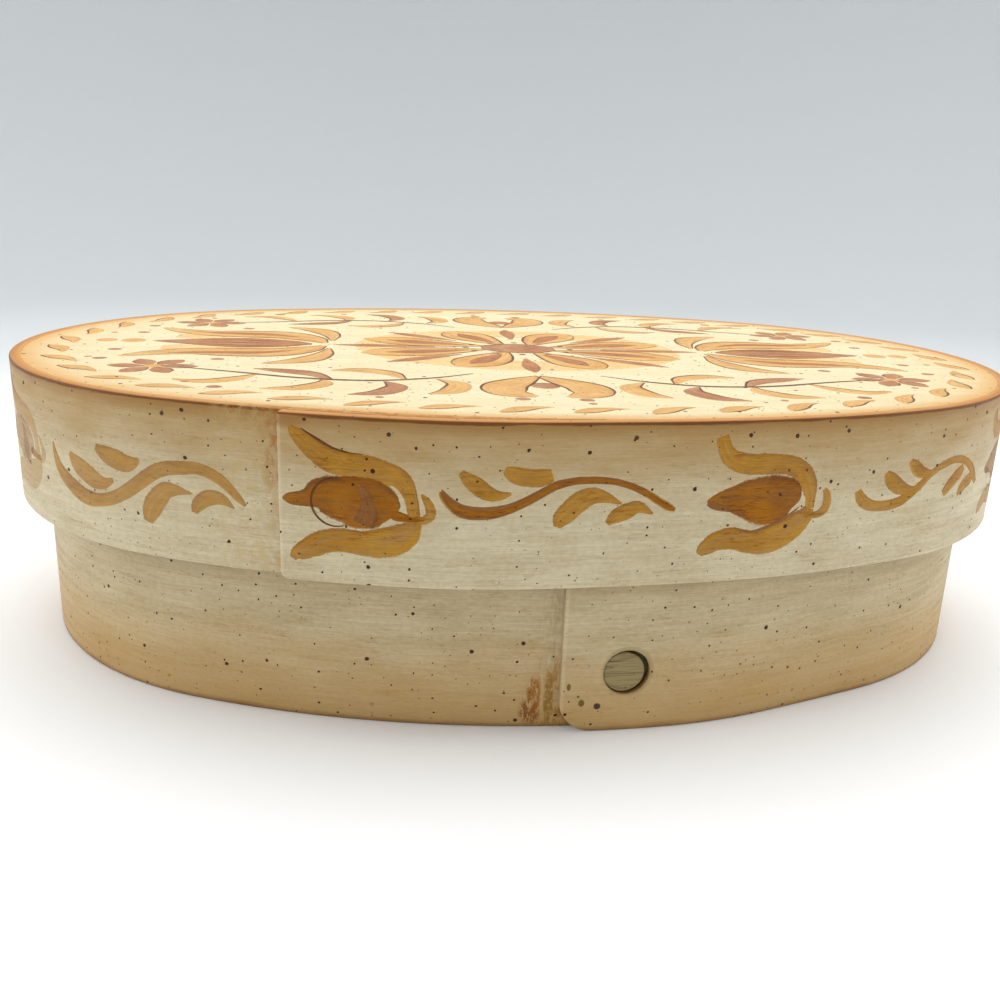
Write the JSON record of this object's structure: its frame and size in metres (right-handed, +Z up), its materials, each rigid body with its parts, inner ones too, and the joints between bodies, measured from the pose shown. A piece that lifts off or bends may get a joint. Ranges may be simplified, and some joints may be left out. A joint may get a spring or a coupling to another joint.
{
  "type": "oval bentwood box",
  "caption": "Oval bentwood storage box: lapped and plugged base band round a bottom board, with a loose lift-off lid of the same make.",
  "frame": {"origin": "centre of the base oval on the flat underside that the box stands on", "axes": "+X along the oval's long axis, -Y towards the side with the laps, +Z up"},
  "size_m": [0.3054, 0.2153, 0.0811],
  "materials": {
    "painted_band": "cream paint with a brown antique glaze and flyspecks, satin",
    "painted_lid": "cream paint with an orange brown glaze towards the rim, satin",
    "board": "plain sealed wood",
    "bare_wood": "bare weathered wood",
    "rusty_steel": "dark rusty steel"
  },
  "bodies": {
    "base": {"base_band": "painted_band", "base_panel": "board", "base_lower_plug": "bare_wood", "base_upper_plug": "bare_wood", "base_corner_pin": "rusty_steel", "base_panel_pins": "rusty_steel"},
    "lid": {"lid_band": "painted_band", "lid_panel": "painted_lid", "lid_plug": "bare_wood", "lid_panel_pins": "rusty_steel"}
  },
  "joints": [
    {"name": "lid_lift", "type": "slide", "parent": "base", "child": "lid", "axis": [0, 0, 1], "range_m": [0, 0.12]}
  ]
}
